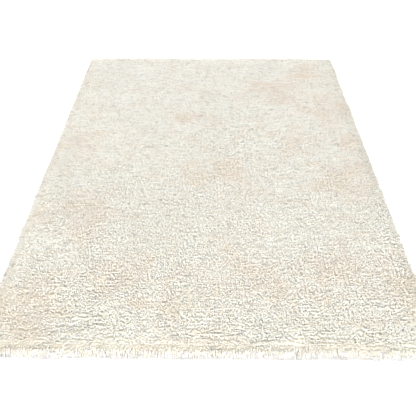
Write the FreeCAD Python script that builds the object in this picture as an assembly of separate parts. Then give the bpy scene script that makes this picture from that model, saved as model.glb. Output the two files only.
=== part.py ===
import FreeCAD, Part
import math
import os

# Machine-woven high-pile area rug, lying flat on the floor.
# Millimetres, +Z up. The origin is the centre of the underside,
# X runs across the width and Y along the length.

# Driving dimensions of the whole rug
rug_width = 1600.0
rug_length = 2300.0
rug_height = 42.0

# The woven ground, layer by layer from the floor up
sizing_thickness = 0.8        # dried latex dressing on the back
lower_weft_thickness = 1.6    # jute yarns across the width
warp_thickness = 1.2          # warps along the length
upper_weft_thickness = 1.6    # second layer of jute yarns across the width

# The pile leans out past the bound edge of the ground on all four sides
pile_overhang = 8.0
pile_corner_radius = 26.0
pile_crown_inset = 14.0       # how far the pile rounds in at the top of its side
pile_crown_height = 9.0       # height over which it rounds in
pile_shoulder_inset = 4.2     # how far it has come in at the shoulder of that rounding
pile_shoulder_drop = 3.6      # how far the shoulder lies below the top
pile_flare_height = 11.0      # height over which it leans out

# Long sides: a filler cord overcast with yarn
overcast_thickness = 0.8
overcast_width = 14.0

# Short ends: a folded tape, sewn through
tape_thickness = 0.8
tape_lower_width = 28.0
tape_upper_width = 12.0

# Sewing thread along the tape, and the tacks that lock the overcasting
thread_width = 0.6
thread_height = 0.4
thread_groove_depth = 0.5     # the thread lies just inside the underside of the tape
thread_from_end = 6.0
tack_length = 8.0
tack_width = 2.4
tack_height = 0.6
tack_edge_radius = 0.24
tack_from_edge = 4.0
tack_from_end = 2.4

# Heights worked out from the layers
ground_bottom = sizing_thickness
warp_bottom = ground_bottom + lower_weft_thickness
upper_weft_bottom = warp_bottom + warp_thickness
ground_top = upper_weft_bottom + upper_weft_thickness
edge_top = ground_top + overcast_thickness
tape_top = ground_top + tape_thickness
ground_middle = (ground_bottom + ground_top) / 2.0

# Half widths and half lengths worked out from the edges
edge_half_width = rug_width / 2.0 - pile_overhang
edge_half_length = rug_length / 2.0 - pile_overhang
cord_radius = (ground_top - ground_bottom) / 2.0
cord_half_width = edge_half_width - overcast_thickness - cord_radius
ground_half_width = cord_half_width - cord_radius
ground_half_length = edge_half_length - tape_thickness
overcast_inner = edge_half_width - overcast_width
tape_lower_inner = edge_half_length - tape_lower_width
tape_upper_inner = edge_half_length - tape_upper_width

sides = {"left": -1.0, "right": 1.0}
ends = {"front": -1.0, "back": 1.0}


def flat_sheet(half_width, half_length, bottom, thickness):
    """A rectangular layer of the ground, centred on the origin."""
    corner = FreeCAD.Vector(-half_width, -half_length, bottom)
    return Part.makeBox(2.0 * half_width, 2.0 * half_length, thickness, corner)


def rounded_rectangle(half_width, half_length, radius, height):
    """A closed wire at one height, with a round corner at each of its four corners."""
    straight_x = half_width - radius
    straight_y = half_length - radius
    middle = radius * math.cos(math.pi / 4.0)
    edges = []
    for sign_x, sign_y in ((1, 1), (-1, 1), (-1, -1), (1, -1)):
        centre = FreeCAD.Vector(sign_x * straight_x, sign_y * straight_y, height)
        on_side = centre + FreeCAD.Vector(sign_x * radius, 0, 0)
        on_bend = centre + FreeCAD.Vector(sign_x * middle, sign_y * middle, 0)
        on_end = centre + FreeCAD.Vector(0, sign_y * radius, 0)
        if sign_x == sign_y:
            corner = (on_side, on_bend, on_end)
        else:
            corner = (on_end, on_bend, on_side)
        if edges:
            edges.append(Part.makeLine(last_point, corner[0]))
        else:
            first_point = corner[0]
        edges.append(Part.Arc(*corner).toShape())
        last_point = corner[2]
    edges.append(Part.makeLine(last_point, first_point))
    return Part.Wire(edges)


def make_pile():
    """The whole pile as one closed envelope: narrow at its roots, leaning out, round at its top."""
    root_radius = pile_corner_radius - pile_overhang
    flare_top = edge_top + pile_flare_height
    crown_bottom = rug_height - pile_crown_height
    crown_width = rug_width / 2.0 - pile_crown_inset
    crown_length = rug_length / 2.0 - pile_crown_inset
    shoulder_width = rug_width / 2.0 - pile_shoulder_inset
    shoulder_length = rug_length / 2.0 - pile_shoulder_inset
    shoulder_height = rug_height - pile_shoulder_drop
    rings = [
        rounded_rectangle(overcast_inner, tape_upper_inner, root_radius, ground_top),
        rounded_rectangle(overcast_inner, tape_upper_inner, root_radius, edge_top),
        rounded_rectangle(rug_width / 2.0, rug_length / 2.0, pile_corner_radius, flare_top),
        rounded_rectangle(rug_width / 2.0, rug_length / 2.0, pile_corner_radius, crown_bottom),
        rounded_rectangle(shoulder_width, shoulder_length, pile_corner_radius, shoulder_height),
        rounded_rectangle(crown_width, crown_length, pile_corner_radius, rug_height),
    ]
    return Part.makeLoft(rings, True, True)


def make_back_sizing():
    """The dried dressing, inside the overcasting and the lower lips of the tapes."""
    return flat_sheet(overcast_inner, tape_lower_inner, 0.0, sizing_thickness)


def make_edge_cord(sign):
    """The round filler cord beside the ground, inside the overcasting."""
    start = FreeCAD.Vector(sign * cord_half_width, -edge_half_length, ground_middle)
    along = FreeCAD.Vector(0, 1, 0)
    return Part.makeCylinder(cord_radius, 2.0 * edge_half_length, start, along)


def make_overcast(sign):
    """The overcasting yarn as a C-shaped wrap round the cord and the edge of the ground."""
    inner = sign * overcast_inner
    centre = sign * cord_half_width
    outer_radius = cord_radius + overcast_thickness

    def point(x, z):
        return FreeCAD.Vector(x, -edge_half_length, z)

    def half_round(radius):
        top = point(centre, ground_middle + radius)
        tip = point(centre + sign * radius, ground_middle)
        bottom = point(centre, ground_middle - radius)
        return Part.Arc(top, tip, bottom).toShape()

    outline = Part.Wire([
        Part.makeLine(point(inner, ground_bottom), point(inner, 0.0)),
        Part.makeLine(point(inner, 0.0), point(centre, 0.0)),
        half_round(outer_radius),
        Part.makeLine(point(centre, edge_top), point(inner, edge_top)),
        Part.makeLine(point(inner, edge_top), point(inner, ground_top)),
        Part.makeLine(point(inner, ground_top), point(centre, ground_top)),
        half_round(cord_radius),
        Part.makeLine(point(centre, ground_bottom), point(inner, ground_bottom)),
    ])
    return Part.Face(outline).extrude(FreeCAD.Vector(0, 2.0 * edge_half_length, 0))


def thread_bar(sign, bottom, height):
    """A straight bar along the sewing line of one tape."""
    middle = sign * (edge_half_length - thread_from_end)
    corner = FreeCAD.Vector(-overcast_inner, middle - thread_width / 2.0, bottom)
    return Part.makeBox(2.0 * overcast_inner, thread_width, height, corner)


def make_hem_thread(sign):
    """The needle thread on the upper lip and the bobbin thread sunk into the lower one."""
    needle_thread = thread_bar(sign, tape_top, thread_height)
    bobbin_thread = thread_bar(sign, thread_groove_depth - thread_height, thread_height)
    return Part.makeCompound([needle_thread, bobbin_thread])


def make_hem_tape(sign):
    """The tape folded round the cut end: a narrow lip above and a wide lip below."""
    outer = sign * edge_half_length
    wall_inner = sign * ground_half_length
    lower_inner = sign * tape_lower_inner
    upper_inner = sign * tape_upper_inner
    section = [
        (lower_inner, 0.0),
        (outer, 0.0),
        (outer, tape_top),
        (upper_inner, tape_top),
        (upper_inner, ground_top),
        (wall_inner, ground_top),
        (wall_inner, ground_bottom),
        (lower_inner, ground_bottom),
        (lower_inner, 0.0),
    ]
    outline = Part.makePolygon([FreeCAD.Vector(-overcast_inner, y, z) for y, z in section])
    tape = Part.Face(outline).extrude(FreeCAD.Vector(2.0 * overcast_inner, 0, 0))
    return tape.cut(thread_bar(sign, 0.0, thread_groove_depth))


def make_corner_tacks():
    """Four bar tacks, one at each end of each overcast side."""
    tacks = []
    for side in sides.values():
        for end in ends.values():
            middle_x = side * (edge_half_width - tack_from_edge - tack_length / 2.0)
            middle_y = end * (edge_half_length - tack_from_end)
            corner = FreeCAD.Vector(middle_x - tack_length / 2.0, middle_y - tack_width / 2.0, edge_top)
            tack = Part.makeBox(tack_length, tack_width, tack_height, corner)
            tacks.append(tack.makeFillet(tack_edge_radius, tack.Edges))
    return Part.makeCompound(tacks)


def make_ground_layer(bottom, thickness):
    """One layer of the ground, from cord to cord and from tape to tape."""
    return flat_sheet(ground_half_width, ground_half_length, bottom, thickness)


parts = {
    "pile": make_pile(),
    "upper_wefts": make_ground_layer(upper_weft_bottom, upper_weft_thickness),
    "warp_yarns": make_ground_layer(warp_bottom, warp_thickness),
    "lower_wefts": make_ground_layer(ground_bottom, lower_weft_thickness),
    "back_sizing": make_back_sizing(),
    "corner_tacks": make_corner_tacks(),
}
for side_name, side_sign in sides.items():
    parts["edge_cord_" + side_name] = make_edge_cord(side_sign)
    parts["overcast_yarn_" + side_name] = make_overcast(side_sign)
for end_name, end_sign in ends.items():
    parts["hem_tape_" + end_name] = make_hem_tape(end_sign)
    parts["hem_thread_" + end_name] = make_hem_thread(end_sign)

os.makedirs("parts", exist_ok=True)
for name, shape in parts.items():
    shape.exportStep("parts/" + name + ".step")
    box = shape.BoundBox
    print(name, shape.isValid(), len(shape.Solids), round(shape.Volume), box)
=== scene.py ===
import math

import bpy
import numpy as np
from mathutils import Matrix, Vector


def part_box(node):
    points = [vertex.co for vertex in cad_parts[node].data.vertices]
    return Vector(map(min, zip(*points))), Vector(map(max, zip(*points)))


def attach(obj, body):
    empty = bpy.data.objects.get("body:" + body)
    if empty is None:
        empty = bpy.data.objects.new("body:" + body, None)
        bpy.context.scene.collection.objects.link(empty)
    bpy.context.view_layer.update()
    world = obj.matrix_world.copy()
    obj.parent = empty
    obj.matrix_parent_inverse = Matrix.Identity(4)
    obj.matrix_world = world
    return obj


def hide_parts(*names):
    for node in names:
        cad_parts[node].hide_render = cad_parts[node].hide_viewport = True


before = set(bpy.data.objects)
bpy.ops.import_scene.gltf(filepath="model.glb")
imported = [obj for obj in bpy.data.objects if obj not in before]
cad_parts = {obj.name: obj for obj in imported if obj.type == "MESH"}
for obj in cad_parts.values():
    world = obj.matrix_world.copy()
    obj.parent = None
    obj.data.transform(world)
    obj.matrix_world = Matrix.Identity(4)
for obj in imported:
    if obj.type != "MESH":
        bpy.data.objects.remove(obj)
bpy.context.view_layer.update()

# Cream shag rug: cut frise pile on a woven jute ground, overcast sides, taped ends.
# Metres, +Z up, front end towards -Y, same frame as the CAD.
mm = 0.001
noiseSize = 512                  # noise repeats after this many lumps
scene = bpy.context.scene

# places that several pieces share, read from the frame
pileLow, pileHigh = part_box("pile")
overcastLow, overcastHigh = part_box("overcast_yarn_right")
tapeLow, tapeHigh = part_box("hem_tape_back")
cordLow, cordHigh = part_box("edge_cord_right")
pileFoot = pileLow[2]            # upper face of the ground
tapeLip = 12 * mm                # the narrow lip of the hem tape, on the upper face
edgeInner = overcastLow[0]
tapeInner = tapeHigh[1] - tapeLip


def linear(hexColour):
    # sRGB hex to the linear values that shaders and lights use
    values = [int(hexColour[i:i + 2], 16) / 255 for i in (1, 3, 5)]
    values = [v / 12.92 if v <= 0.04045 else ((v + 0.055) / 1.055) ** 2.4 for v in values]
    return (*values, 1.0)


def addNode(tree, kind, inputs=None, **settings):
    # one node: its settings, then a value or a link for each input that is named
    node = tree.nodes.new(kind)
    for name, value in settings.items():
        setattr(node, name, value)
    for key, value in (inputs or {}).items():
        if isinstance(value, bpy.types.NodeSocket):
            tree.links.new(value, node.inputs[key])
        else:
            node.inputs[key].default_value = value
    return node


def startMaterial(name, roughness, **sockets):
    # values that are the same all over go on the shader itself
    material = bpy.data.materials.new(name)
    material.use_nodes = True
    tree = material.node_tree
    shader = tree.nodes["Principled BSDF"]
    shader.inputs["Roughness"].default_value = roughness
    shader.inputs["IOR"].default_value = 1.5
    for key, value in sockets.items():
        shader.inputs[key.replace("_", " ")].default_value = value
    place = addNode(tree, "ShaderNodeTexCoord").outputs["Object"]
    return material, tree, shader, place


def ringWave(tree, place, pitch, axis, distortion=0.0):
    # a smooth stripe from 0 to 1 and back for each pitch, in metres, along one axis;
    # at scale 1 Blender's wave repeats every pi / 10
    return addNode(tree, "ShaderNodeTexWave", {
        "Vector": place, "Scale": math.pi / 10 / pitch, "Distortion": distortion,
    }, bands_direction=axis).outputs["Fac"]


def relief(tree, shader, height, depth):
    bump = addNode(tree, "ShaderNodeBump", {"Height": height, "Distance": depth, "Strength": 1.0})
    tree.links.new(bump.outputs["Normal"], shader.inputs["Normal"])


def twoTone(tree, shader, amount, low, high):
    # the colour goes from low to high as the amount goes from 0 to 1
    colour = addNode(tree, "ShaderNodeMix", {0: amount, 6: linear(low), 7: linear(high)}, data_type="RGBA")
    tree.links.new(colour.outputs[2], shader.inputs["Base Color"])


def smoothNoise(u, v, seed):
    # lumps from -1 to 1, one for each whole step of u and of v; whole values of v don't blend
    grid = np.random.default_rng(seed).uniform(-1, 1, (noiseSize, noiseSize))
    column = np.floor(u).astype(int)
    row = np.floor(v).astype(int)
    fu = u - column
    fv = v - row
    fu = fu * fu * (3 - 2 * fu)
    fv = fv * fv * (3 - 2 * fv)
    left = column % noiseSize
    right = (column + 1) % noiseSize
    low = row % noiseSize
    high = (row + 1) % noiseSize
    near = grid[left, low] * (1 - fu) + grid[right, low] * fu
    far = grid[left, high] * (1 - fu) + grid[right, high] * fu
    return near * (1 - fv) + far * fv


def meshFrom(name, points, quads, triangles=None, outline=None):
    # a mesh from whole arrays, with smooth faces; outline is one flat many-sided face
    groups = [(np.asarray(quads).reshape(-1, 4), 4)]
    if triangles is not None:
        groups.append((np.asarray(triangles).reshape(-1, 3), 3))
    if outline is not None:
        groups.append((np.asarray(outline).reshape(1, -1), len(outline)))
    corners = np.concatenate([faces.ravel() for faces, _ in groups]).astype(np.int32)
    sizes = np.concatenate([np.full(len(faces), size) for faces, size in groups])
    mesh = bpy.data.meshes.new(name)
    mesh.vertices.add(len(points))
    mesh.vertices.foreach_set("co", np.asarray(points, dtype=np.float32).ravel())
    mesh.loops.add(len(corners))
    mesh.loops.foreach_set("vertex_index", corners)
    mesh.polygons.add(len(sizes))
    mesh.polygons.foreach_set("loop_start", (np.cumsum(sizes) - sizes).astype(np.int32))
    mesh.polygons.foreach_set("use_smooth", np.ones(len(sizes), dtype=bool))
    mesh.update(calc_edges=True)
    return mesh


def yarnMesh(name, paths, wide, thick=None, sides=3, twist=None, across=(0.31, 0.95, 0.05)):
    # closed yarns along many paths at once: paths are (yarns, rings, 3), wide and thick half sizes
    count, rings, _ = paths.shape
    along = np.gradient(paths, axis=1)
    along /= np.linalg.norm(along, axis=2, keepdims=True)
    side = np.cross(along, np.array(across))
    side /= np.linalg.norm(side, axis=2, keepdims=True)
    up = np.cross(along, side)
    wide = np.broadcast_to(wide, (count, rings))
    thick = wide if thick is None else np.broadcast_to(thick, (count, rings))
    turn = np.zeros((count, rings)) if twist is None else twist
    spokes = []
    for k in range(sides):
        angle = turn + k * 2 * math.pi / sides
        reachSide = side * (np.cos(angle) * wide)[..., None]
        reachUp = up * (np.sin(angle) * thick)[..., None]
        spokes.append(paths + reachSide + reachUp)
    points = np.stack(spokes, axis=2).reshape(-1, 3)
    first = np.arange(count)[:, None, None] * rings * sides
    level = np.arange(rings - 1)[None, :, None] * sides
    corner = np.arange(sides)[None, None, :]
    here = first + level + corner
    there = first + level + (corner + 1) % sides
    quads = np.stack([here, there, there + sides, here + sides], axis=-1).reshape(-1, 4)
    foot = np.arange(count)[:, None] * rings * sides
    tip = foot + (rings - 1) * sides
    caps = []
    for k in range(1, sides - 1):
        caps.append(np.concatenate([foot, foot + k + 1, foot + k], axis=1))
        caps.append(np.concatenate([tip, tip + k, tip + k + 1], axis=1))
    return meshFrom(name, points, quads, np.concatenate(caps))


def clothMesh(name, middle, thickness):
    # a closed sheet of one thickness about a grid of points
    rows, columns, _ = middle.shape
    normal = np.cross(np.gradient(middle, axis=1), np.gradient(middle, axis=0))
    normal /= np.linalg.norm(normal, axis=2, keepdims=True)
    points = np.concatenate([(middle + normal * thickness / 2).reshape(-1, 3),
                             (middle - normal * thickness / 2).reshape(-1, 3)])
    index = np.arange(rows * columns).reshape(rows, columns)
    face = np.stack([index[:-1, :-1], index[1:, :-1], index[1:, 1:], index[:-1, 1:]], -1).reshape(-1, 4)
    rim = np.concatenate([index[0, :-1], index[:-1, -1], index[-1, :0:-1], index[:0:-1, 0]])
    wall = np.stack([rim, np.roll(rim, -1), np.roll(rim, -1) + rows * columns, rim + rows * columns], -1)
    return meshFrom(name, points, np.concatenate([face, face[:, ::-1] + rows * columns, wall]))


def addPiece(mesh, material, slot, *nodes):
    # a finished piece of the rug, which rides on the root and stands for its CAD nodes
    piece = bpy.data.objects.new(mesh.name, mesh)
    scene.collection.objects.link(piece)
    mesh.materials.append(material)
    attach(piece, "root")
    if nodes:
        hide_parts(*nodes)
    return piece


studio = {
    "cameraPlace": (0.006, -2.148, 1.529),
    "pitchDown": 40.58,        # degrees below level
    "yawLeft": 0.43,
    "lens": 45.03,             # mm, on the sensor below
    "sensor": 36,
    "farClip": 100,
    "floorSize": 40.0,
    "floorDrop": 0.3 * mm,     # the paper lies just under the rug
    "floorColour": "#fbfbfa",
    "skyColour": "#fffefc",
    "skyStrength": 1.9,
    # a large softbox overhead and a weaker one low in front: power, size, place
    "softboxes": ((61.0, 4.0, (-1.2, -0.9, 4.2)), (26.0, 3.0, (0.4, -6.5, 1.8))),
    "filterWidth": 0.75,       # crisp yarn ends
    "bounces": 16,
    "diffuseBounces": 12,      # light goes deep into a pale pile
}


def makeStudio():
    camera = bpy.data.objects.new("camera", bpy.data.cameras.new("camera"))
    scene.collection.objects.link(camera)
    camera.location = studio["cameraPlace"]
    camera.rotation_euler = (math.radians(90 - studio["pitchDown"]), 0, math.radians(studio["yawLeft"]))
    camera.data.lens = studio["lens"]
    camera.data.sensor_width = studio["sensor"]
    camera.data.clip_end = studio["farClip"]
    scene.camera = camera

    half = studio["floorSize"] / 2
    corners = [(-half, -half, 0), (half, -half, 0), (half, half, 0), (-half, half, 0)]
    floor = bpy.data.objects.new("studio_floor", meshFrom("studio_floor", corners, [[0, 1, 2, 3]]))
    scene.collection.objects.link(floor)
    floor.location.z = -studio["floorDrop"]
    # matt white paper: even and pale, with no shine
    paper, _, shader, _ = startMaterial(
        "matt_white_backdrop_paper", roughness=0.9, Specular_IOR_Level=0.1)
    shader.inputs["Base Color"].default_value = linear(studio["floorColour"])
    floor.data.materials.append(paper)

    world = bpy.data.worlds.new("white_studio")
    world.use_nodes = True
    sky = world.node_tree.nodes["Background"]
    sky.inputs["Color"].default_value = linear(studio["skyColour"])
    sky.inputs["Strength"].default_value = studio["skyStrength"]
    scene.world = world

    for power, size, place in studio["softboxes"]:
        softbox = bpy.data.objects.new("softbox", bpy.data.lights.new("softbox", "AREA"))
        scene.collection.objects.link(softbox)
        softbox.data.energy = power
        softbox.data.size = size
        softbox.location = place
        softbox.rotation_euler = softbox.location.to_track_quat("Z", "Y").to_euler()
    scene.view_settings.view_transform = "Standard"
    scene.cycles.filter_width = studio["filterWidth"]
    scene.cycles.max_bounces = studio["bounces"]
    scene.cycles.diffuse_bounces = studio["diffuseBounces"]
    return floor


ground = {
    "weftPitch": 7.3 * mm,      # one jute weft in each face for a row of tufts
    "warpPitch": 6.7 * mm,
    "fill": 0.94,               # how much of its pitch a yarn takes up
    "crook": 0.25 * mm,         # how far a yarn strays from straight
    "crookSteps": 18,
    "fibre": 0.8 * mm,          # a jute fibre, as drawn
    "warpTwist": 1.2 * mm,      # from one slanting turn of the warp to the next
    "wear": 9 * mm,             # size of the thinner places in the dressing
    "film": 0.45 * mm,          # thickness of the dressing
    "rib": 0.3 * mm,            # how far it rises at each lower weft
    "clearance": 0.02 * mm,
    "jute": "#b8986a",
    "juteDark": "#94744a",
    "warp": "#e4d8c2",
    "warpShade": "#cfc1a8",
    "latex": "#cdb896",
    "latexBare": "#b39468",     # where the jute shows through
    "seed": 31,
}


def wovenJute():
    # spun jute, unbleached: dull tan yarn with darker hard fibres lying along it, no gloss
    material, tree, shader, place = startMaterial("spun_jute", roughness=0.92, Specular_IOR_Level=0.25)
    stretched = addNode(tree, "ShaderNodeMapping", {"Vector": place, "Scale": (0.12, 1.0, 1.0)})
    # real fibres are 0.05 mm; drawn at 0.8 mm so that they show
    fibres = addNode(tree, "ShaderNodeTexNoise", {
        "Vector": stretched.outputs[0], "Scale": 0.5 / ground["fibre"], "Detail": 3.0, "Roughness": 0.65})
    tone = addNode(tree, "ShaderNodeMapRange", {
        "Value": fibres.outputs["Fac"], "From Min": 0.35, "From Max": 0.7})
    twoTone(tree, shader, tone.outputs[0], ground["jute"], ground["juteDark"])
    relief(tree, shader, fibres.outputs["Fac"], depth=0.3 * mm)
    return material


def cottonWarp():
    # ring-spun cotton, sized for the loom: smooth off-white yarn with a fine slanting twist
    material, tree, shader, place = startMaterial(
        "ring_spun_cotton", roughness=0.8, Sheen_Weight=0.15, Specular_IOR_Level=0.3)
    slant = addNode(tree, "ShaderNodeMapping", {"Vector": place, "Rotation": (0, 0, math.radians(35))})
    twist = ringWave(tree, slant.outputs[0], ground["warpTwist"], "Y", distortion=0.6)
    twoTone(tree, shader, twist, ground["warpShade"], ground["warp"])
    relief(tree, shader, twist, depth=0.15 * mm)
    return material


def dressedBack():
    # latex dressing, spread thin and dried: ribbed, slightly rubbery, jute showing on the ribs
    material, tree, shader, place = startMaterial(
        "dried_latex_dressing", roughness=0.55, Specular_IOR_Level=0.45)
    wefts = ringWave(tree, place, ground["weftPitch"], "Y")
    warps = ringWave(tree, place, ground["warpPitch"], "X", distortion=0.8)
    grain = addNode(tree, "ShaderNodeTexNoise", {
        "Vector": place, "Scale": 1 / ground["wear"], "Detail": 4.0})
    weave = addNode(tree, "ShaderNodeMath", {0: wefts, 1: warps}, operation="MULTIPLY")
    worn = addNode(tree, "ShaderNodeMath", {
        0: weave.outputs[0], 1: grain.outputs["Fac"]}, operation="MULTIPLY")
    bare = addNode(tree, "ShaderNodeMapRange", {
        "Value": worn.outputs[0], "From Min": 0.1, "From Max": 0.5})
    twoTone(tree, shader, bare.outputs[0], ground["latex"], ground["latexBare"])
    gloss = addNode(tree, "ShaderNodeMapRange", {"Value": bare.outputs[0], "To Min": 0.5, "To Max": 0.85})
    tree.links.new(gloss.outputs[0], shader.inputs["Roughness"])
    relief(tree, shader, weave.outputs[0], depth=0.4 * mm)
    return material


def makeYarnLayer(node, along, pitch, material, slot, seed):
    # one layer of the ground: yarns side by side, along X or Y, each a little crooked
    low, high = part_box(node)
    axis = "XY".index(along)
    count = round(2 * high[1 - axis] / pitch)
    pitch = 2 * high[1 - axis] / count
    lane = -high[1 - axis] + pitch * (np.arange(count) + 0.5)
    rings = ground["crookSteps"]
    stray = np.random.default_rng(seed).uniform(-1, 1, (count, rings)) * ground["crook"]
    stray[[0, -1]] = 0
    paths = np.empty((count, rings, 3))
    paths[..., axis] = np.linspace(-high[axis], high[axis], rings)
    paths[..., 1 - axis] = lane[:, None] + stray
    paths[..., 2] = (low[2] + high[2]) / 2
    mesh = yarnMesh(node + "_layer", paths, ground["fill"] * pitch / 2, (high[2] - low[2]) / 2,
                    sides=6, across=(0, 0, 1))
    return addPiece(mesh, material, slot, node)


def makeGround():
    jute = wovenJute()
    seed = ground["seed"]
    lower = makeYarnLayer("lower_wefts", "X", ground["weftPitch"], jute, "jute", seed)
    upper = makeYarnLayer("upper_wefts", "X", ground["weftPitch"], jute, "jute", seed + 1)
    warps = makeYarnLayer("warp_yarns", "Y", ground["warpPitch"], cottonWarp(), "warp_cotton", seed + 2)
    # the dressing follows the lower wefts as ribs, and its underside lies on the floor
    low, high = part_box("back_sizing")
    columns = 13
    rows = round(2 * high[1] / ground["weftPitch"]) * 4 + 1     # four steps for each rib
    x, y = np.meshgrid(np.linspace(-high[0], high[0], columns), np.linspace(-high[1], high[1], rows))
    ribs = (1 - np.cos(2 * math.pi * (y + high[1]) / ground["weftPitch"])) / 2
    lowest = low[2] + ground["film"] / 2 + ground["clearance"]
    middle = np.stack([x, y, lowest + ribs * ground["rib"]], -1)
    film = clothMesh("back_dressing", middle, ground["film"])
    sizing = addPiece(film, dressedBack(), "sizing", "back_sizing")
    print("ground: jute wefts, cotton warps and latex dressing")
    return [lower, upper, warps, sizing]


edges = {
    "turnPitch": 3.0 * mm,      # overcasting, one turn beside the next
    "turnFill": 0.48,           # half the width of a turn, as a share of that pitch
    "yarnThickness": 0.8 * mm,
    "turnBend": (75, 38, 0, -38, -75),   # degrees, the points of a turn round the cord
    "plies": 3,
    "plyLay": 24 * mm,          # one turn of a ply round the filler cord
    "plyStep": 4 * mm,
    "plyFill": 1.05,            # the plies press into each other
    "edgeYarn": "#ece3d0",
    "edgeYarnShade": "#cbbd9f",
    "cord": "#d8cbb2",
    "cordShade": "#b3a488",
}


def overcastingYarn():
    # bulky two-ply synthetic yarn, wound on tight: cream, soft, with slanting plies
    material, tree, shader, place = startMaterial("two_ply_binding_yarn", roughness=0.8, Sheen_Weight=0.25)
    slant = addNode(tree, "ShaderNodeMapping", {
        "Vector": place, "Rotation": (math.radians(20), math.radians(30), 0)})
    # real plies repeat every 0.8 mm; drawn at 2 mm so that they show
    plies = ringWave(tree, slant.outputs[0], 2 * mm, "X", distortion=1.0)
    twoTone(tree, shader, plies, edges["edgeYarnShade"], edges["edgeYarn"])
    relief(tree, shader, plies, depth=0.25 * mm)
    return material


def twistedCottonCord():
    # unbleached cotton cord, three plies twisted: dull and hairy, uneven in tone along each ply
    material, tree, shader, place = startMaterial("twisted_cotton_cord", roughness=0.88, Sheen_Weight=0.2)
    stretched = addNode(tree, "ShaderNodeMapping", {"Vector": place, "Scale": (1.0, 0.15, 1.0)})
    # real hairs are 0.02 mm; drawn at 0.8 mm so that they show
    hairs = addNode(tree, "ShaderNodeTexNoise", {
        "Vector": stretched.outputs[0], "Scale": 1 / (1.5 * mm), "Detail": 3.0})
    twoTone(tree, shader, hairs.outputs["Fac"], edges["cordShade"], edges["cord"])
    relief(tree, shader, hairs.outputs["Fac"], depth=0.2 * mm)
    return material


def makeSide(name, sign, yarnMaterial, cordMaterial):
    # a long side: plies twisted into the filler cord, and the yarn wound over it in one length
    middleX = (cordLow[0] + cordHigh[0]) / 2
    middleZ = (cordLow[2] + cordHigh[2]) / 2
    plyRadius = (cordHigh[0] - cordLow[0]) / 4
    y = np.arange(cordLow[1], cordHigh[1], edges["plyStep"])
    angle = y / edges["plyLay"] * 2 * math.pi
    angle = angle + np.arange(edges["plies"])[:, None] * 2 * math.pi / edges["plies"]
    plies = np.stack([sign * (middleX + plyRadius * np.cos(angle)), np.broadcast_to(y, angle.shape),
                      middleZ + plyRadius * np.sin(angle)], -1)
    cord = yarnMesh("filler_cord_" + name, plies, plyRadius * edges["plyFill"], sides=5, across=(0, 0, 1))
    pieces = [addPiece(cord, cordMaterial, "filler_cord", "edge_cord_" + name)]

    half = edges["yarnThickness"] / 2
    inner = overcastLow[0] + half
    top = overcastHigh[2] - half
    bottom = overcastLow[2] + half
    bend = (top - bottom) / 2
    turn = [(inner, bottom), (inner, top), ((inner + middleX) / 2, top)]
    for degrees in edges["turnBend"]:
        bendAngle = math.radians(degrees)
        turn.append((middleX + bend * math.cos(bendAngle), middleZ + bend * math.sin(bendAngle)))
    turn.append(((inner + middleX) / 2, bottom))
    turns = int((overcastHigh[1] - overcastLow[1]) / edges["turnPitch"]) - 1
    ringX, ringZ = np.tile(np.array(turn), (turns, 1)).T
    ringY = overcastLow[1] + edges["turnPitch"] * (0.5 + np.arange(len(ringX)) / len(turn))
    path = np.stack([sign * ringX, ringY, ringZ], -1)[None]
    yarn = yarnMesh("overcasting_" + name, path, half, edges["turnPitch"] * edges["turnFill"],
                    sides=4, across=(0, 1, 0))
    pieces.append(addPiece(yarn, yarnMaterial, "edge_yarn", "overcast_yarn_" + name))
    return pieces


hem = {
    "thickness": 0.7 * mm,
    "clearance": 0.05 * mm,      # the lower lip stays this far off the floor
    "bend": 1.2 * mm,            # radius where the tape turns over the cut end
    "bendAngles": (0.4, 0.8, 1.2),   # radians, the points of each turn
    "step": 8 * mm,
    "ease": 0.25 * mm,           # how far the upper lip wanders, and over what length
    "easeRun": 40 * mm,
    "stitchPitch": 8 * mm,
    "stitchShare": 0.8,          # how much of a pitch the thread lies on the surface
    # along a stitch, how deep the thread goes, in its own radii
    "dips": ((0, 2.5), (0.12, 0.3), (0.5, 0), (0.88, 0.3), (1, 2.5)),
    "threadRadius": 0.3 * mm,
    "threadSeat": (0.5, 0.62),   # middle of the thread above the upper and lower faces, in radii
    "threadFlat": 0.6,           # a pulled thread is this much thinner than wide
    "chevron": 6 * mm,
    "tape": "#ebe2cd",
    "tapeShade": "#cfc2a6",
    "thread": "#f4efe2",
    "threadShade": "#d9d1bf",
    "tackPasses": 13,
    "tackLength": 8 * mm,
    "tackWidth": 2.4 * mm,
    "tackThread": 0.28 * mm,
    "seed": 13,
}


def herringboneTape():
    # cotton herringbone tape: matt, with slanting ribs that change side every few millimetres
    material, tree, shader, place = startMaterial("herringbone_cotton_tape", roughness=0.85, Sheen_Weight=0.1)
    parts = addNode(tree, "ShaderNodeSeparateXYZ", {0: place})
    fold = addNode(tree, "ShaderNodeMath", {0: parts.outputs["Y"], 1: hem["chevron"]}, operation="PINGPONG")
    slant = addNode(tree, "ShaderNodeMath", {0: parts.outputs["X"], 1: fold.outputs[0]}, operation="ADD")
    across = addNode(tree, "ShaderNodeCombineXYZ", {"X": slant.outputs[0]})
    # the real ribs are 0.6 mm apart; drawn at 1.5 mm so that they show
    ribs = ringWave(tree, across.outputs[0], 1.5 * mm, "X")
    twoTone(tree, shader, ribs, hem["tapeShade"], hem["tape"])
    relief(tree, shader, ribs, depth=0.2 * mm)
    return material


def sewingThread():
    # spun polyester sewing thread: off-white, faintly glossy, with a tight twist
    material, tree, shader, place = startMaterial(
        "spun_polyester_thread", roughness=0.5, Specular_IOR_Level=0.5)
    slant = addNode(tree, "ShaderNodeMapping", {"Vector": place, "Rotation": (0, 0, math.radians(40))})
    # the real twist repeats every 0.3 mm; drawn at 0.8 mm so that it shows
    twist = ringWave(tree, slant.outputs[0], 0.8 * mm, "X")
    twoTone(tree, shader, twist, hem["threadShade"], hem["thread"])
    relief(tree, shader, twist, depth=0.1 * mm)
    return material


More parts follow.
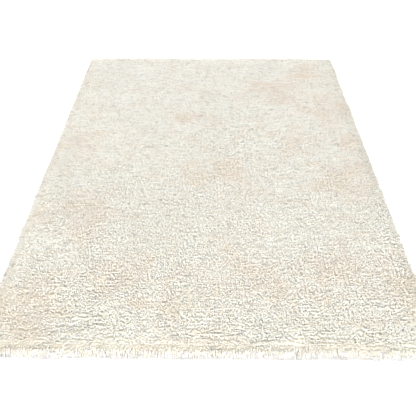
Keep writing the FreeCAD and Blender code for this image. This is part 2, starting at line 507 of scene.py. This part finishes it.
def makeHem(name, sign, tapeMaterial, threadMaterial):
    # a short end: the tape folded over it, and a lockstitch through both lips
    half = hem["thickness"] / 2
    bend = hem["bend"]
    outer = tapeHigh[1] - half
    bottom = tapeLow[2] + half + hem["clearance"]
    top = tapeHigh[2] - half
    lowerTurn = [(outer - bend + bend * math.sin(a), bottom + bend - bend * math.cos(a))
                 for a in hem["bendAngles"]]
    upperTurn = [(outer - bend + bend * math.cos(a), top - bend + bend * math.sin(a))
                 for a in hem["bendAngles"]]
    section = [(y, bottom) for y in np.linspace(tapeLow[1], outer - bend, 8)]
    section += [*lowerTurn, (outer, bottom + bend), (outer, top - bend), *upperTurn]
    section += [(y, top) for y in np.linspace(outer - bend, tapeInner, 5)]
    x = np.append(np.arange(-edgeInner, edgeInner, hem["step"]), edgeInner)
    sectionY, sectionZ = np.array(section).T
    ease = hem["ease"] * smoothNoise(x / hem["easeRun"], np.full(len(x), sign), hem["seed"])
    onLip = sectionZ > top - 0.01 * mm       # only the upper lip wanders
    middle = np.stack([
        np.broadcast_to(x[:, None], (len(x), len(section))) * sign,
        sign * (sectionY[None, :] + ease[:, None] * onLip[None, :]),
        np.broadcast_to(sectionZ, (len(x), len(section))),
    ], -1)
    tape = addPiece(clothMesh("folded_tape_" + name, middle, hem["thickness"]), tapeMaterial,
                    "hem_tape", "hem_tape_" + name)

    threadLow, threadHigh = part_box("hem_thread_back")
    seamY = (threadLow[1] + threadHigh[1]) / 2
    pitch = hem["stitchPitch"]
    length = pitch * hem["stitchShare"]
    starts = np.arange(-edgeInner + pitch / 2, edgeInner - pitch, pitch)
    radius = hem["threadRadius"]
    seatTop, seatBottom = hem["threadSeat"]
    seams = []
    for surface, inward in ((tapeHigh[2] + radius * seatTop, -1), (tapeLow[2] + radius * seatBottom, 1)):
        rings = []
        for share, dip in hem["dips"]:
            level = surface + inward * dip * radius
            rings.append(np.stack([starts + share * length, np.full(len(starts), sign * seamY),
                                   np.full(len(starts), level)], -1))
        seams.append(np.stack(rings, 1))
    thread = yarnMesh("lockstitch_" + name, np.concatenate(seams), radius, radius * hem["threadFlat"],
                      sides=5, across=(0, 0, 1))
    return tape, addPiece(thread, threadMaterial, "sewing_thread", "hem_thread_" + name)


def makeTacks(material):
    # a bar tack at each end of each overcast side: the thread goes back and forth across the edge
    low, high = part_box("corner_tacks")
    length = hem["tackLength"]
    across = hem["tackWidth"]
    step = np.arange(hem["tackPasses"] * 2)
    swing = np.where(step // 2 % 2 == 0, -0.5, 0.5) * np.where(step % 2 == 0, 1, -1)
    paths = []
    for signX in (-1, 1):
        for signY in (-1, 1):
            x = signX * (high[0] - length * (step + 0.5) / len(step))
            y = signY * (high[1] - across / 2) + swing * across
            paths.append(np.stack([x, y, np.full(len(step), (low[2] + high[2]) / 2)], -1))
    mesh = yarnMesh("corner_bar_tacks", np.stack(paths), hem["tackThread"], sides=5, across=(0, 0, 1))
    return addPiece(mesh, material, "sewing_thread", "corner_tacks")


pile = {
    "rowPitch": ground["weftPitch"],
    "tuftPitch": ground["warpPitch"],
    "yarnsPerTuft": 2,          # the two cut legs of each tuft
    "yarnRadius": 2.2 * mm,     # soft heat-set yarn, opened a little at its cut end
    "radiusSpread": (0.85, 1.15),
    "profile": (0.8, 1.0, 1.1, 0.7),     # how thick a yarn is from its root to its tip
    "twist": 0.9,               # radians from one point of a yarn to the next
    "height": 33 * mm,          # cut height above the ground
    "heightSpread": 0.5 * mm,
    "legHeights": (0.975, 1.01),         # the two legs of a tuft aren't cut quite alike
    "unevenness": 0.6 * mm,
    "unevenRun": 45 * mm,
    "rootJitter": (1.2 * mm, 1.3 * mm),
    "lean": 5 * mm,             # how far a tuft falls over, mostly across the rug
    "leanAlong": 0.3,           # share of that along the rug
    "fallSpread": (0.6, 1.2),
    "heading": 3.6,             # radians by which the lean turns from place to place
    "headingSpread": 0.8,
    "headingRun": 60 * mm,
    "rowLean": 3.5 * mm,        # how far a stretch of one row parts from the next
    "rowLeanRun": 45 * mm,
    "rowRise": 0.6 * mm,
    "rowRiseRun": 50 * mm,
    "parting": 3 * mm,
    "partingRun": (80 * mm, 14 * mm),
    "clumpSize": (16 * mm, 11 * mm),
    "clumpGap": 0.3,            # share of a clump that slopes down to the gap beside it
    "clumpPull": 0.35,          # how far the tufts lean towards the middle of their clump
    "clumpDrop": 1.8 * mm,      # how much lower the pile is at a gap
    "furrowDrop": 4 * mm,       # the pile parts along crosswise lines
    "furrowShare": 0.1,         # how near to zero the parting noise is in a furrow
    "lowTuft": 5 * mm,          # here and there tufts stand lower and leave a small dark hollow
    "lowRun": (11 * mm, 9 * mm),
    "lowShare": 0.4,            # a hollow starts where its noise is above this
    "lowFade": 0.2,
    "legSpread": (1.6 * mm, 1.0 * mm),   # how far the legs of a tuft stand from its middle
    "tipSpread": (0.28 * mm, 1.68 * mm),
    "curl": 0.7,                # radians, how far the cut end turns off the lean
    "hook": (0.5 * mm, 3 * mm),
    "hookDrop": (0, 0.25),
    "tipAlong": 0.6,            # tips spread and hook less along the rug than across it
    # three points up a yarn, as shares of its reach, its height and its sag
    "bends": ((0.40, 0.76, 0.35), (1.0, 0.99, 0.8), (1.15, 0.98, 1.0)),
    "rootRise": (2 * mm, 12 * mm),       # a yarn starts this high at the rim, and this much more inside
    "bodyHeight": 22 * mm,      # below this the yarns are packed too close to see apart
    "bodyLumps": 4 * mm,
    "bodyDrop": 3 * mm,
    "bodyCell": 8 * mm,
    "bodyRim": 8 * mm,          # its height at its rim, and how far in it slopes up
    "bodySlope": 30 * mm,
    "bodyFoot": ((3 * mm, 2 * mm), (12 * mm, 0)),   # inset and height of its two lowest rings
    "bodyInset": 12 * mm,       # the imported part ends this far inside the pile's outline
    "rootInset": 2 * mm,        # the outermost roots, in from the binding
    "cornerRadius": 22 * mm,
    "cornerEase": 1 * mm,
    "edgeZone": 44 * mm,        # the outer tufts lean out over the bound edge
    "edgePower": 1.2,
    "edgeLean": 16 * mm,
    "edgeWave": 0.25,
    "edgeRun": 30 * mm,
    "edgeCalm": 0.6,            # share of its own lean that a tuft loses there
    "edgeSag": 16 * mm,
    "sagSpread": (0.3, 1.3),
    "bands": 15,
    "ivory": "#fbfbf5",
    "sand": "#f4ebde",
    "deepShade": "#efebe4",          # painted shade: the colour low in the pile, for the shade between the yarns
    # sandy patches: place and half width in metres
    "patches": ((0.26, -0.84, 0.10), (0.50, -0.78, 0.13), (0.11, -0.74, 0.09), (-0.17, -0.95, 0.10),
                (-0.66, -0.98, 0.16), (-0.34, -0.77, 0.11), (0.75, -0.85, 0.14), (0.62, -0.20, 0.15),
                (0.15, -0.13, 0.12), (-0.10, -0.15, 0.11), (0.45, 0.12, 0.13), (0.70, 0.12, 0.10),
                (-0.69, 0.13, 0.12), (-0.05, 0.38, 0.10), (0.59, 0.90, 0.14), (-0.58, -0.42, 0.18),
                (0.40, 0.70, 0.20), (0.62, 0.45, 0.16)),
    "patchStray": (0.6, 0.4, 0.0),       # how far noise pulls the patches out of round
    "patchLevel": 0.03,
    "patchFade": (1.3, 0.2),    # a patch starts and is full at these shares of its half width
    "patchTint": 0.5,           # sand from a patch, less everywhere, and sand from the mottling
    "tintLess": -0.12,
    "mottleTint": 0.55,
    "seed": 7,
}
rootHalfWidth = edgeInner - pile["rootInset"]
rootHalfLength = tapeInner - pile["rootInset"]


def friseYarn(name, ivory, sand, paintedDeepShade):
    # polypropylene frise, heat-set and cut: matt and curly, ivory with faint sandy patches
    material, tree, shader, place = startMaterial(
        name, roughness=0.85, Sheen_Weight=0.2, Sheen_Roughness=0.5, Specular_IOR_Level=0.3)
    wander = addNode(tree, "ShaderNodeTexNoise", {
        "Vector": place, "Scale": 7.0, "Detail": 5.0, "Roughness": 0.6})
    offset = addNode(tree, "ShaderNodeVectorMath", {
        0: wander.outputs["Color"], 1: (0.5, 0.5, 0.5)}, operation="SUBTRACT")
    strayed = addNode(tree, "ShaderNodeVectorMath", {
        0: offset.outputs[0], 1: pile["patchStray"], 2: place}, operation="MULTIPLY_ADD").outputs[0]
    fadeStart, fadeEnd = pile["patchFade"]
    sandy = None
    for x, y, size in pile["patches"]:
        away = addNode(tree, "ShaderNodeVectorMath", {
            0: strayed, 1: (x, y, pile["patchLevel"])}, operation="DISTANCE")
        patch = addNode(tree, "ShaderNodeMapRange", {
            "Value": away.outputs["Value"], "From Min": size * fadeStart, "From Max": size * fadeEnd,
        }, interpolation_type="SMOOTHSTEP").outputs[0]
        sandy = patch if sandy is None else addNode(
            tree, "ShaderNodeMath", {0: sandy, 1: patch}, operation="MAXIMUM").outputs[0]
    stretched = addNode(tree, "ShaderNodeMapping", {"Vector": place, "Scale": (0.5, 1.0, 1.0)})
    mottle = addNode(tree, "ShaderNodeTexNoise", {
        "Vector": stretched.outputs[0], "Scale": 18.0, "Detail": 5.0, "Roughness": 0.65})
    spots = addNode(tree, "ShaderNodeMapRange", {
        "Value": mottle.outputs["Fac"], "From Min": 0.36, "From Max": 0.66})
    both = addNode(tree, "ShaderNodeMath", {
        0: sandy, 1: pile["patchTint"], 2: pile["tintLess"]}, operation="MULTIPLY_ADD")
    amount = addNode(tree, "ShaderNodeMath", {
        0: spots.outputs[0], 1: pile["mottleTint"], 2: both.outputs[0]},
        operation="MULTIPLY_ADD", use_clamp=True)
    tone = addNode(tree, "ShaderNodeMix", {
        0: amount.outputs[0], 6: linear(ivory), 7: linear(sand)}, data_type="RGBA")
    # no two yarns take the heat-setting alike
    yarns = addNode(tree, "ShaderNodeTexNoise", {"Vector": place, "Scale": 200.0, "Detail": 1.0})
    spread = addNode(tree, "ShaderNodeMapRange", {
        "Value": yarns.outputs["Fac"], "From Min": 0.3, "From Max": 0.7, "To Min": 0.88, "To Max": 1.0})
    # painted shade: darker streaks stand for where tufts part and shade one another
    shadowStreakNoise = addNode(tree, "ShaderNodeTexNoise", {
        "Vector": stretched.outputs[0], "Scale": 60.0, "Detail": 4.0, "Roughness": 0.7})
    paintedShadeStreak = addNode(tree, "ShaderNodeMapRange", {
        "Value": shadowStreakNoise.outputs["Fac"], "From Min": 0.33, "From Max": 0.5, "To Min": 0.72, "To Max": 1.0})
    # random yarn tone times the painted shade of the streaks
    value = addNode(tree, "ShaderNodeMath", {
        0: spread.outputs[0], 1: paintedShadeStreak.outputs[0]}, operation="MULTIPLY")
    toneAndPaintedShade = addNode(tree, "ShaderNodeMix", {
        0: 1.0, 6: tone.outputs[2], 7: value.outputs[0]}, data_type="RGBA", blend_type="MULTIPLY")
    # painted shade: the colour is duller low in the pile, where shade falls between the yarns, and full at
    # the tips
    height = addNode(tree, "ShaderNodeSeparateXYZ", {0: place})
    depth = addNode(tree, "ShaderNodeMapRange", {
        "Value": height.outputs["Z"], "From Min": pileFoot + pile["bodyHeight"],
        "From Max": pileFoot + pile["height"] * 0.95})
    # painted shade, from the deep shade colour at the body's height to white near the tips
    shade = addNode(tree, "ShaderNodeMix", {
        0: depth.outputs[0], 6: linear(paintedDeepShade), 7: linear("#ffffff")}, data_type="RGBA")
    colour = addNode(tree, "ShaderNodeMix", {
        0: 1.0, 6: toneAndPaintedShade.outputs[2], 7: shade.outputs[2]}, data_type="RGBA", blend_type="MULTIPLY")
    tree.links.new(colour.outputs[2], shader.inputs["Base Color"])
    return material


def clumpAt(x, y):
    # tufts cling together in clumps: gives the way to the middle of a point's own clump,
    # and 0 at its edge to 1 inside
    sizeX, sizeY = pile["clumpSize"]
    grid = np.random.default_rng(pile["seed"] + 2).uniform(0.1, 0.9, (noiseSize, noiseSize, 2))
    column = np.floor(x / sizeX).astype(int)
    row = np.floor(y / sizeY).astype(int)
    ways = []
    for stepX in (-1, 0, 1):
        for stepY in (-1, 0, 1):
            jitter = grid[(column + stepX) % noiseSize, (row + stepY) % noiseSize]
            ways.append(np.stack([(column + stepX + jitter[..., 0]) * sizeX - x,
                                  (row + stepY + jitter[..., 1]) * sizeY - y], -1))
    ways = np.stack(ways)
    away = np.hypot(ways[..., 0] / sizeX, ways[..., 1] / sizeY)
    order = np.argsort(away, axis=0)
    nearest = np.take_along_axis(away, order[:2], axis=0)
    way = np.take_along_axis(ways, order[:1, ..., None], axis=0)[0]
    inside = np.clip((nearest[1] - nearest[0]) / pile["clumpGap"], 0, 1)
    return way[..., 0], way[..., 1], inside * inside * (3 - 2 * inside)


def makePileBody(material):
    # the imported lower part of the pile: one closed block, lumpy on top, sloping down to its rim
    halfWidth = pileHigh[0] - pile["bodyInset"]
    halfLength = pileHigh[1] - pile["bodyInset"]
    radius = pile["cornerRadius"]
    cell = pile["bodyCell"]
    x, y = np.meshgrid(np.linspace(-halfWidth, halfWidth, int(2 * halfWidth / cell)),
                       np.linspace(-halfLength, halfLength, int(2 * halfLength / cell)))
    rows, columns = x.shape
    fromRim = np.minimum(halfWidth - np.abs(x), halfLength - np.abs(y))
    # the corners of the grid are pulled in to arcs
    inX = np.maximum(np.abs(x) - (halfWidth - radius), 0)
    inY = np.maximum(np.abs(y) - (halfLength - radius), 0)
    tiny = 1e-9      # keeps the next line from dividing by zero
    pull = np.where((inX > 0) & (inY > 0), np.maximum(inX, inY) / np.hypot(inX + tiny, inY), 1)
    x = x - np.sign(x) * inX * (1 - pull)
    y = y - np.sign(y) * inY * (1 - pull)
    rounding = np.clip(fromRim / pile["bodySlope"], 0, 1)
    lumps = np.random.default_rng(pile["seed"] + 1).uniform(-1, 1, x.shape) * pile["bodyLumps"] * rounding
    lumps -= pile["bodyDrop"] * (1 - clumpAt(x, y)[2]) * rounding
    height = pile["bodyRim"] + (pile["bodyHeight"] - pile["bodyRim"]) * rounding + lumps
    top = np.stack([x, y, pileFoot + height], -1).reshape(-1, 3)
    index = np.arange(rows * columns).reshape(rows, columns)
    quads = [np.stack([index[:-1, :-1], index[:-1, 1:], index[1:, 1:], index[1:, :-1]], -1).reshape(-1, 4)]
    ring = np.concatenate([index[0, :-1], index[:-1, -1], index[-1, :0:-1], index[:0:-1, 0]])
    rim = top[ring]
    farthest = np.array([halfWidth - radius, halfLength - radius])
    centre = np.clip(rim[:, :2], -farthest, farthest)
    outward = rim[:, :2] - centre
    outward /= np.linalg.norm(outward, axis=1, keepdims=True)
    points = [top]
    for inward, level in pile["bodyFoot"]:
        low = rows * columns + len(ring) * (len(points) - 1) + np.arange(len(ring))
        quads.append(np.stack([low, np.roll(low, -1), np.roll(ring, -1), ring], -1))
        points.append(np.column_stack([rim[:, :2] - outward * inward, np.full(len(low), pileFoot + level)]))
        ring = low
    mesh = meshFrom("pile_body", np.concatenate(points), np.concatenate(quads), outline=ring[::-1])
    return addPiece(mesh, material, "pile_yarn", "pile")


def makePileBands(material):
    # the cut yarns, two to a tuft, in one field that is then split into bands
    seed = pile["seed"]
    rng = np.random.default_rng(seed)
    columns = int(2 * rootHalfWidth / pile["tuftPitch"])
    rows = int(2 * rootHalfLength / pile["rowPitch"])
    x, y = np.meshgrid(np.linspace(-rootHalfWidth, rootHalfWidth, columns),
                       np.linspace(-rootHalfLength, rootHalfLength, rows))
    row = np.repeat(np.arange(rows), columns)
    jitterX, jitterY = pile["rootJitter"]
    x = x.ravel() + rng.normal(0, jitterX, rows * columns)
    y = y.ravel() + rng.normal(0, jitterY, rows * columns)
    # round the four corners of the field
    radius = pile["cornerRadius"]
    beyondX = np.maximum(np.abs(x) - (rootHalfWidth - radius), 0)
    beyondY = np.maximum(np.abs(y) - (rootHalfLength - radius), 0)
    keep = np.hypot(beyondX, beyondY) < radius + pile["cornerEase"]
    x = x[keep]
    y = y[keep]
    row = row[keep]
    tufts = len(x)

    # how each tuft leans
    turning = smoothNoise(x / pile["headingRun"], y / pile["headingRun"], seed + 4)
    heading = pile["heading"] * turning + rng.normal(0, pile["headingSpread"], tufts)
    fall = pile["lean"] * rng.uniform(*pile["fallSpread"], tufts)
    inX, inY, inside = clumpAt(x, y)
    runX, runY = pile["partingRun"]
    partings = smoothNoise(x / runX, y / runY, seed + 6)
    leanX = fall * np.cos(heading) + pile["clumpPull"] * inX
    leanY = pile["leanAlong"] * fall * np.sin(heading) + pile["clumpPull"] * inY
    leanY += pile["parting"] * partings
    leanY += pile["rowLean"] * smoothNoise(x / pile["rowLeanRun"], row, seed + 8)

    # how high it stands
    unevenness = smoothNoise(x / pile["unevenRun"], y / pile["unevenRun"], seed + 7)
    height = pile["height"] + pile["unevenness"] * unevenness
    height += rng.normal(0, pile["heightSpread"], tufts) - pile["clumpDrop"] * (1 - inside)
    height += pile["rowRise"] * smoothNoise(x / pile["rowRiseRun"], row, seed + 9)
    height -= pile["furrowDrop"] * np.exp(-(partings / pile["furrowShare"]) ** 2)
    lowX, lowY = pile["lowRun"]
    hollows = smoothNoise(x / lowX, y / lowY, seed + 10)
    height -= pile["lowTuft"] * np.clip((hollows - pile["lowShare"]) / pile["lowFade"], 0, 1)

    # near the edge it leans out and sags instead
    zone = pile["edgeZone"]
    outX = np.clip((np.abs(x) - (rootHalfWidth - zone)) / zone, 0, 1) ** pile["edgePower"] * np.sign(x)
    outY = np.clip((np.abs(y) - (rootHalfLength - zone)) / zone, 0, 1) ** pile["edgePower"] * np.sign(y)
    out = np.clip(np.hypot(outX, outY), 0, 1)
    wave = smoothNoise(x / pile["edgeRun"], y / pile["edgeRun"], seed + 11)
    spill = pile["edgeLean"] * (1 + pile["edgeWave"] * wave)
    leanX = leanX * (1 - pile["edgeCalm"] * out) + spill * outX
    leanY = leanY * (1 - pile["edgeCalm"] * out) + spill * outY
    sag = pile["edgeSag"] * out ** 2

    # from tufts to single yarns
    each = pile["yarnsPerTuft"]
    yarns = tufts * each
    shared = (x, y, leanX, leanY, height, sag, out)
    x, y, leanX, leanY, height, sag, out = (np.repeat(values, each) for values in shared)
    angle = rng.uniform(0, 2 * math.pi, yarns)
    spread = rng.uniform(*pile["tipSpread"], yarns)
    legX, legY = pile["legSpread"]
    rootX = x + np.cos(angle) * legX
    rootY = y + np.sin(angle) * legY
    height = height * rng.uniform(*pile["legHeights"], yarns)
    reachX = leanX + np.cos(angle) * spread
    reachY = leanY + np.sin(angle) * spread * pile["tipAlong"]
    sag = sag * rng.uniform(*pile["sagSpread"], yarns)
    curl = np.arctan2(reachY, reachX) + rng.normal(0, pile["curl"], yarns)
    hook = rng.uniform(*pile["hook"], yarns)
    rimStart, innerRise = pile["rootRise"]
    path = [np.stack([rootX, rootY, pileFoot + innerRise * (1 - out) + rimStart], axis=1)]
    for reachShare, heightShare, sagShare in pile["bends"]:
        path.append(np.stack([rootX + reachX * reachShare, rootY + reachY * reachShare,
                              pileFoot + height * heightShare - sag * sagShare], axis=1))
    # the cut end hooks over
    path[-1] += np.stack([np.cos(curl) * hook, np.sin(curl) * hook * pile["tipAlong"],
                          -hook * rng.uniform(*pile["hookDrop"], yarns)], axis=1)
    paths = np.stack(path, axis=1)
    thickness = pile["yarnRadius"] * rng.uniform(*pile["radiusSpread"], yarns)
    wide = thickness[:, None] * np.array(pile["profile"])
    twist = rng.uniform(0, 2 * math.pi, yarns)[:, None] + np.arange(len(path)) * pile["twist"]
    pieces = []
    for number, part in enumerate(np.array_split(np.arange(yarns), pile["bands"])):
        mesh = yarnMesh(f"pile_band_{number + 1:02d}", paths[part], wide[part], twist=twist[part])
        pieces.append(addPiece(mesh, material, "pile_yarn"))
    print("pile:", tufts, "tufts of", each, "yarns in", len(pieces), "bands")
    return pieces


rim = {
    "spacing": 3.3 * mm,
    # for each layer of yarns on the wall of the pile: height of its roots in mm, how far in
    # they are in mm, rise in degrees, length in mm
    "layers": ((1, 12, 5, 25), (5, 8, 5, 23), (9, 5, 5, 21), (13, 6, 5, 20), (17, 10, 5, 20)),
    "rootSpread": (-1 * mm, 2 * mm),
    "lengthSpread": (0.8, 1.1),
    "wave": 0.15,              # share by which the length comes and goes along a side
    "waveRun": 45 * mm,
    "droop": 26,               # degrees that a yarn bends down at each step along it
    "liftSpread": 8,           # degrees
    "turnSpread": 0.6,         # radians
    "curl": 0.3,               # radians at each step
    "radius": 2.8 * mm,
    "taper": 0.75,             # thickness at the tip, as a share of that at the root
    "twist": 0.8,              # radians at each step
    "floorGap": 1.2,           # the middle of a yarn stays this many radii above the floor
    "rings": 4,
    "ivory": "#faf9f8",        # painted highlight: the outermost yarns get paler colours than the pile, for the light they catch from all sides
    "sand": "#f5f2ed",
    # white, so the outermost yarns get no painted shade low down and stay pale: part of the painted highlight
    "deepShade": "#ffffff",
    "seed": 21,
}


def makePileEdges(material):
    # the outermost yarns, which hang over the bound edge all the way round
    rng = np.random.default_rng(rim["seed"])
    radius = pile["cornerRadius"]
    bodyHalf = (pileHigh[0] - pile["bodyInset"], pileHigh[1] - pile["bodyInset"])
    pieces = []
    for k, name in enumerate(("front", "right", "back", "left")):
        turn = k * math.pi / 2
        alongSide = np.array([round(math.cos(turn)), round(math.sin(turn))])
        outward = np.array([alongSide[1], -alongSide[0]])
        halfRun = bodyHalf[k % 2] - radius
        far = bodyHalf[1 - k % 2]
        length = 2 * halfRun + radius * math.pi / 2
        perLayer = int(length / rim["spacing"])
        paths = []
        for rootHeight, inset, rise, yarnLength in rim["layers"]:
            s = (np.arange(perLayer) + rng.uniform(0, 1, perLayer)) * length / perLayer
            bend = np.clip((s - 2 * halfRun) / radius, 0, None)
            run = np.minimum(s, 2 * halfRun) - halfRun
            normal = np.cos(bend)[:, None] * outward + np.sin(bend)[:, None] * alongSide
            centre = run[:, None] * alongSide + (far - radius) * outward
            point = centre + (radius - inset * mm) * normal
            tangent = np.stack([-normal[:, 1], normal[:, 0]], axis=1)
            height = pileFoot + rootHeight * mm + rng.uniform(*rim["rootSpread"], perLayer)
            elevation = np.radians(rise + rng.normal(0, rim["liftSpread"], perLayer))
            azimuth = rng.normal(0, rim["turnSpread"], perLayer)
            curl = rng.normal(0, rim["curl"], perLayer)
            step = yarnLength * mm * rng.uniform(*rim["lengthSpread"], perLayer) / (rim["rings"] - 1)
            wave = smoothNoise(s / rim["waveRun"], np.zeros(perLayer), rim["seed"] + 1 + k)
            step *= 1 + rim["wave"] * wave
            rings = []
            for ring in range(rim["rings"]):
                rings.append(np.column_stack([point, np.maximum(height, rim["radius"] * rim["floorGap"])]))
                flat = step * np.cos(elevation)
                point = point + (flat * np.cos(azimuth))[:, None] * normal
                point = point + (flat * np.sin(azimuth))[:, None] * tangent
                height = height + step * np.sin(elevation)
                elevation = elevation - math.radians(rim["droop"])
                azimuth = azimuth + curl
            paths.append(np.stack(rings, axis=1))
        paths = np.concatenate(paths)
        wide = rim["radius"] * rng.uniform(*pile["radiusSpread"], len(paths))[:, None]
        wide = wide * np.linspace(1.0, rim["taper"], rim["rings"])
        twist = rng.uniform(0, 6, len(paths))[:, None] + np.arange(rim["rings"]) * rim["twist"]
        mesh = yarnMesh(f"pile_edge_{name}", paths, wide, twist=twist)
        pieces.append(addPiece(mesh, material, "pile_yarn"))
    print("pile edges:", ", ".join(piece.name for piece in pieces))
    return pieces


floor = makeStudio()
print("studio: camera, floor and lights")
groundPieces = makeGround()
bindingYarn = overcastingYarn()
fillerCord = twistedCottonCord()
sidePieces = makeSide("left", -1, bindingYarn, fillerCord) + makeSide("right", 1, bindingYarn, fillerCord)
print("sides: filler cords and overcasting")
tapeCotton = herringboneTape()
polyesterThread = sewingThread()
frontHem = makeHem("front", -1, tapeCotton, polyesterThread)
backHem = makeHem("back", 1, tapeCotton, polyesterThread)
tacks = makeTacks(polyesterThread)
print("ends: folded tapes, stitching and bar tacks")
pileYarn = friseYarn("heat_set_frise_yarn", pile["ivory"], pile["sand"], pile["deepShade"])
# a paler, lit copy of the pile yarn for the outermost yarns: painted highlight, with the same painted shade
# streaks
paleLitRimYarn = friseYarn("heat_set_frise_yarn_rim_painted_highlight", rim["ivory"], rim["sand"], rim["deepShade"])
pilePieces = [makePileBody(pileYarn), *makePileBands(pileYarn), *makePileEdges(paleLitRimYarn)]
